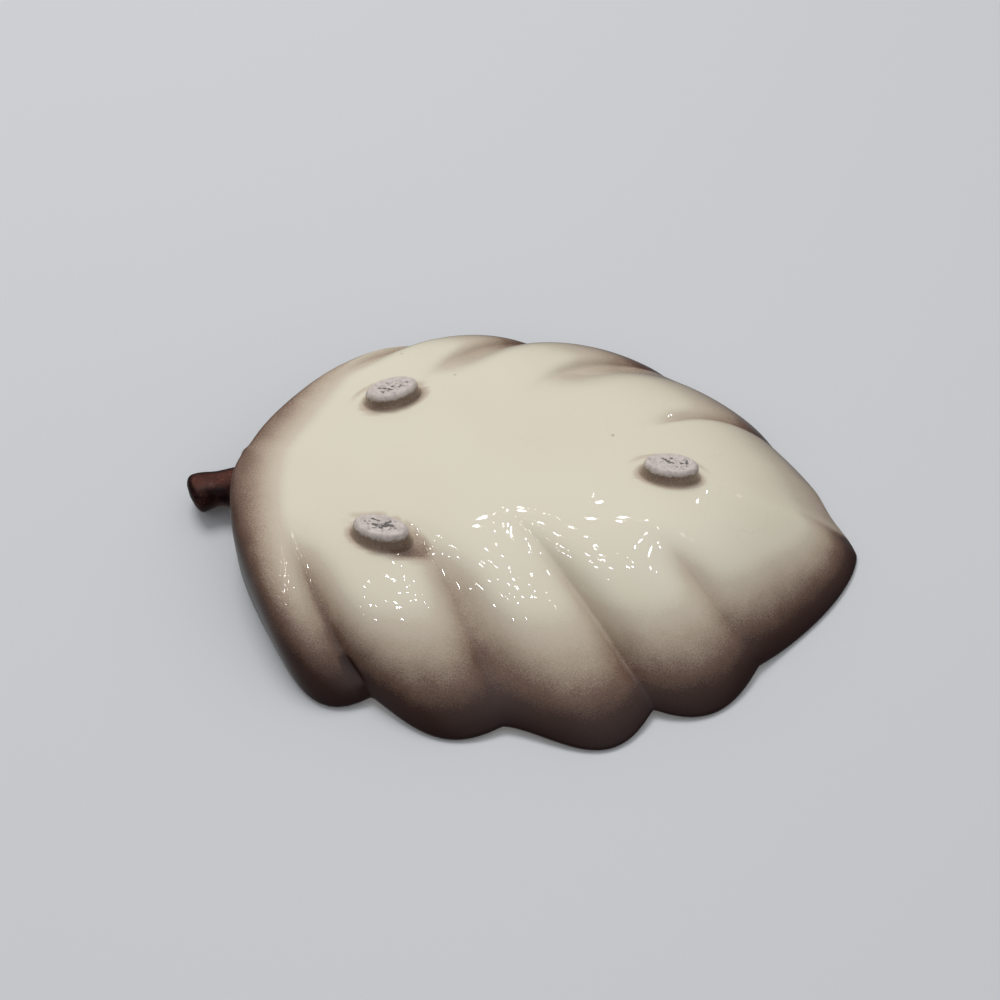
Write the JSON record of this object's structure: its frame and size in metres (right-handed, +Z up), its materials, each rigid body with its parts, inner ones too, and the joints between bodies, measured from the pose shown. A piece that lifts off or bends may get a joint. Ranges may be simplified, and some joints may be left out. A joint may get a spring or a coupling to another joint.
{
  "type": "leaf bowl",
  "caption": "Shallow ceramic bowl in the shape of a broad lobed leaf, with scalloped rim, grooved wall, stem stub and low bare feet.",
  "frame": {"origin": "on the surface that the feet stand on, under the middle of the bowl's box", "axes": "+X from the stem to the tip, +Y to the left side, +Z up through the open mouth"},
  "size_m": [0.2608, 0.1854, 0.045],
  "materials": {
    "sprayed_glaze": "gloss cream glaze, sprayed brown towards the rim",
    "dark_glaze": "gloss dark brown glaze with bronze specks",
    "bare_clay": "matt unglazed clay with dark pits"
  },
  "bodies": {
    "root": {"leaf_shell": "sprayed_glaze", "stem": "dark_glaze", "left_foot": "bare_clay", "right_foot": "bare_clay", "tip_foot": "bare_clay"}
  },
  "joints": []
}
